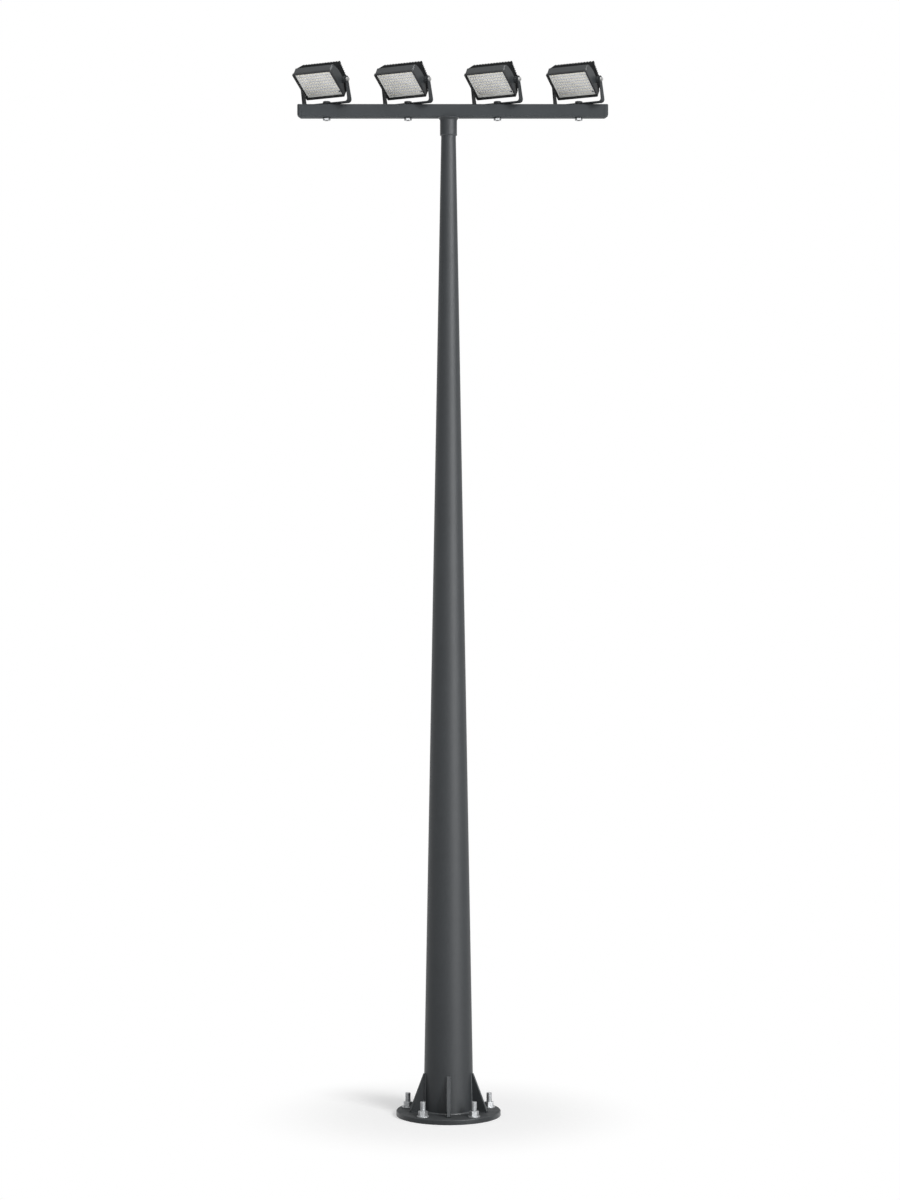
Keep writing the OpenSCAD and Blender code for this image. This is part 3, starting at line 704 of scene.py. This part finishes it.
# painted shade: the bluish grey of the lenses' rims
painted_lens_shade = plain("painted_lens_shade", (0.56, 0.57, 0.635), 0.50, speckle=0.03, scale=300)
lens_crown = plain("lens_crown", (0.97, 0.92, 0.79), 0.45, speckle=0.02, scale=300)
phosphor = plain("phosphor", (0.95, 0.81, 0.50), 0.50, speckle=0.04, scale=400)
pressed_white = plain("pressed_white_frame", (0.84, 0.84, 0.82), 0.35, speckle=0.03, scale=40)


def sweep_frame(bm, place, half_w, half_h, profile):
    # profile: distance in from the outline, and depth behind the bezel's face
    rings = []
    for x, z in ((-1, -1), (1, -1), (1, 1), (-1, 1)):
        points = [Vector((x * (half_w - inset), depth, z * (half_h - inset))) for inset, depth in profile]
        rings.append([bm.verts.new(place @ point) for point in points])
    join_rings(bm, rings, closed=True)


board_y, board_clear = 0.044, 0.0008
columns, rows = 13, 8
pitch_x, pitch_z = 0.0338, 0.0452
screw_x, screw_z = (columns - 1) / 2 * pitch_x, -(rows - 1) / 2 * pitch_z
light_half_w, light_half_h = 0.244, 0.199
slope = ((0.002, 0.0205), (0.004, 0.0205), (0.020, 0.0425), (0.020, 0.0437), (0.002, 0.0437))
# radius, height over the board and finish of each ring of a lens
lens_sides = 14
lens_steps = (
    (0.0155, 0.0, 0),
    (0.0155, 0.0025, 0),
    (0.0120, 0.0060, 0),
    (0.0086, 0.0076, 1),
    (0.0040, 0.0083, 1),
    (0.0038, 0.0084, 2),
)
for lamp in range(1, 5):
    wear(board, f"led_panel_{lamp}")
    place = lamp_frame(lamp)
    bm = bmesh.new()
    diodes = [(column, row) for column in range(columns) for row in range(rows)]
    diodes.remove((columns - 1, 0))
    for column, row in diodes:
        x = (column - (columns - 1) / 2) * pitch_x
        z = (row - (rows - 1) / 2) * pitch_z
        last = None
        for r, high, finish in lens_steps:
            ring = []
            for k in range(lens_sides):
                angle = 2 * math.pi * k / lens_sides
                point = Vector((x + r * math.cos(angle), board_y - high, z + r * math.sin(angle)))
                ring.append(bm.verts.new(place @ point))
            for k in range(lens_sides if last else 0):
                bm.faces.new((last[k - 1], last[k], ring[k], ring[k - 1])).material_index = finish
            last = ring
        bm.faces.new(last).material_index = 2
    mesh_piece(f"led_lenses_{lamp}", bm, [painted_lens_shade, lens_crown, phosphor], f"lamp_{lamp}")
    bm = bmesh.new()
    sweep_frame(bm, place, light_half_w, light_half_h, slope)
    mesh_piece(f"panel_frame_{lamp}", bm, pressed_white, f"lamp_{lamp}")
    bm = bmesh.new()
    set_screw(
        bm, place, screw_x, board_y - board_clear, screw_z, head_r=0.0105, head_high=0.006, socket_r=0.0045
    )
    mesh_piece(f"panel_screw_{lamp}", bm, black_screw, f"lamp_{lamp}")


# Glasses: clear toughened sheet, bedded in the bezel in front of the board, with a bead
# of black silicone round its edge and a black border printed on its inner side.
glass, tree, surface = finish_of("clear_glass")
surface["Base Color"].default_value = (0.97, 0.985, 0.98, 1)
surface["Roughness"].default_value = 0.0
surface["Transmission Weight"].default_value = 1.0
surface["IOR"].default_value = 1.30
sheet = tree.nodes["Principled BSDF"].outputs[0]
ray = put(tree, "LightPath").outputs
passing = maths(tree, "ADD", ray["Is Shadow Ray"], ray["Is Diffuse Ray"])
clear = put(tree, "BsdfTransparent").outputs[0]
through = put(tree, "MixShader", {0: passing, 1: sheet, 2: clear}).outputs[0]
tree.links.new(through, tree.nodes["Material Output"].inputs["Surface"])
silicone = plain("black_silicone", (0.012, 0.012, 0.013), 0.55, speckle=0.15, scale=200)
printed_black = plain("printed_black", (0.014, 0.014, 0.015), 0.45, speckle=0.10, scale=300)
bead = ((0.0, 0.0105), (0.0014, 0.0112), (0.0026, 0.0125), (0.0032, 0.0139), (0.0, 0.0139))
border = ((-0.005, 0.0192), (0.011, 0.0192), (0.011, 0.0195), (-0.005, 0.0195))
for lamp in range(1, 5):
    wear(glass, f"glass_{lamp}")
    bm = bmesh.new()
    sweep_frame(bm, lamp_frame(lamp), light_half_w, light_half_h, bead)
    mesh_piece(f"glass_bead_{lamp}", bm, silicone, f"lamp_{lamp}")
    bm = bmesh.new()
    sweep_frame(bm, lamp_frame(lamp), light_half_w, light_half_h, border)
    mesh_piece(f"glass_border_{lamp}", bm, printed_black, f"lamp_{lamp}")


# Pivot bolts: flanged hexagon bolts through the yoke's eyes into the housing's bosses,
# bright zinc plated.
bright_zinc = zinc("bright_zinc", (0.46, 0.46, 0.455), 0.34, crystal=400)
for lamp in range(1, 5):
    wear(bright_zinc, f"pivot_bolts_{lamp}")
    ease_edges(0.001, f"pivot_bolts_{lamp}")


# Studio: a pale round floor that fades to white away from the mast, white all round,
# one broad light from the right in front, one from above, and three soft panels, two at
# the right and one high in front, that only show in the gloss.
floor_r, fade_start, fade_end = 60, 0.9, 2.55
bm = bmesh.new()
bmesh.ops.create_circle(bm, cap_ends=True, segments=96, radius=floor_r)
floor_mesh = bpy.data.meshes.new("floor")
bm.to_mesh(floor_mesh)
bm.free()
floor = bpy.data.objects.new("floor", floor_mesh)
bpy.context.scene.collection.objects.link(floor)
floor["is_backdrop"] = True


def white_light(tree, strength):
    return put(tree, "Emission", {"Color": (1, 1, 1, 1), "Strength": strength}).outputs[0]


def card(tree, level):
    return put(tree, "BsdfDiffuse", {"Color": (level, level, level, 1)}).outputs[0]


def seen_directly(tree):
    ray = put(tree, "LightPath").outputs
    mirrored = maths(tree, "ADD", ray["Is Camera Ray"], ray["Is Glossy Ray"])
    return maths(tree, "ADD", mirrored, ray["Is Transmission Ray"])


pale, tree = finish_of("pale_floor")[:2]
tree.nodes.remove(tree.nodes["Principled BSDF"])
centre = put(tree, "TexCoord").outputs["Object"]
away = put(tree, "VectorMath", {0: centre}, operation="LENGTH").outputs["Value"]
reach = {"Value": away, "From Min": fade_start, "From Max": fade_end}
fade = put(tree, "MapRange", reach, interpolation_type="SMOOTHSTEP").outputs[0]
near = put(tree, "AddShader", {0: card(tree, 0.72), 1: white_light(tree, 0.37)}).outputs[0]
pictured = put(tree, "MixShader", {0: fade, 1: near, 2: white_light(tree, 1.0)}).outputs[0]
glow = white_light(tree, spread(tree, away, 1.0, 8.0, 0.30, 1.0))
lighting = put(tree, "AddShader", {0: card(tree, 0.15), 1: glow}).outputs[0]
either = put(tree, "MixShader", {0: seen_directly(tree), 1: lighting, 2: pictured}).outputs[0]
tree.links.new(either, tree.nodes["Material Output"].inputs["Surface"])
floor_mesh.materials.append(pale)

world = bpy.data.worlds.new("white_studio")
bpy.context.scene.world = world
world.use_nodes = True
tree = world.node_tree
tree.nodes.clear()
fill_light, seen_white = 0.26, 1.0
strength = spread(tree, seen_directly(tree), 0, 1, fill_light, seen_white)
sky = put(tree, "Background", {"Color": (1, 1, 1, 1), "Strength": strength}).outputs[0]
tree.links.new(sky, put(tree, "OutputWorld").inputs["Surface"])

# name, direction it shines in, power, softness in degrees, and whether it lights matt surfaces
lights = (
    ("key", (-0.56, 0.66, -0.50), 1.8, 20, True),
    ("top", (0.0, 0.15, -1.0), 0.6, 60, True),
    ("gloss_panel", (-0.66, 0.74, -0.12), 4.2, 45, False),
    ("high_gloss_panel", (-0.54, 0.27, -0.79), 2.0, 26, False),
    ("front_gloss_panel", (0.0, 0.83, -0.58), 1.6, 24, False),
)
for name, towards, power, softness, lights_matt in lights:
    light_data = bpy.data.lights.new(name, "SUN")
    light_data.energy = power
    light_data.angle = math.radians(softness)
    light = bpy.data.objects.new(name, light_data)
    light.rotation_mode = "QUATERNION"
    light.rotation_quaternion = Vector(towards).to_track_quat("-Z", "Y")
    light.visible_diffuse = lights_matt
    light.visible_transmission = lights_matt
    bpy.context.scene.collection.objects.link(light)

bpy.context.scene.view_settings.view_transform = "Standard"

low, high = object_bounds()
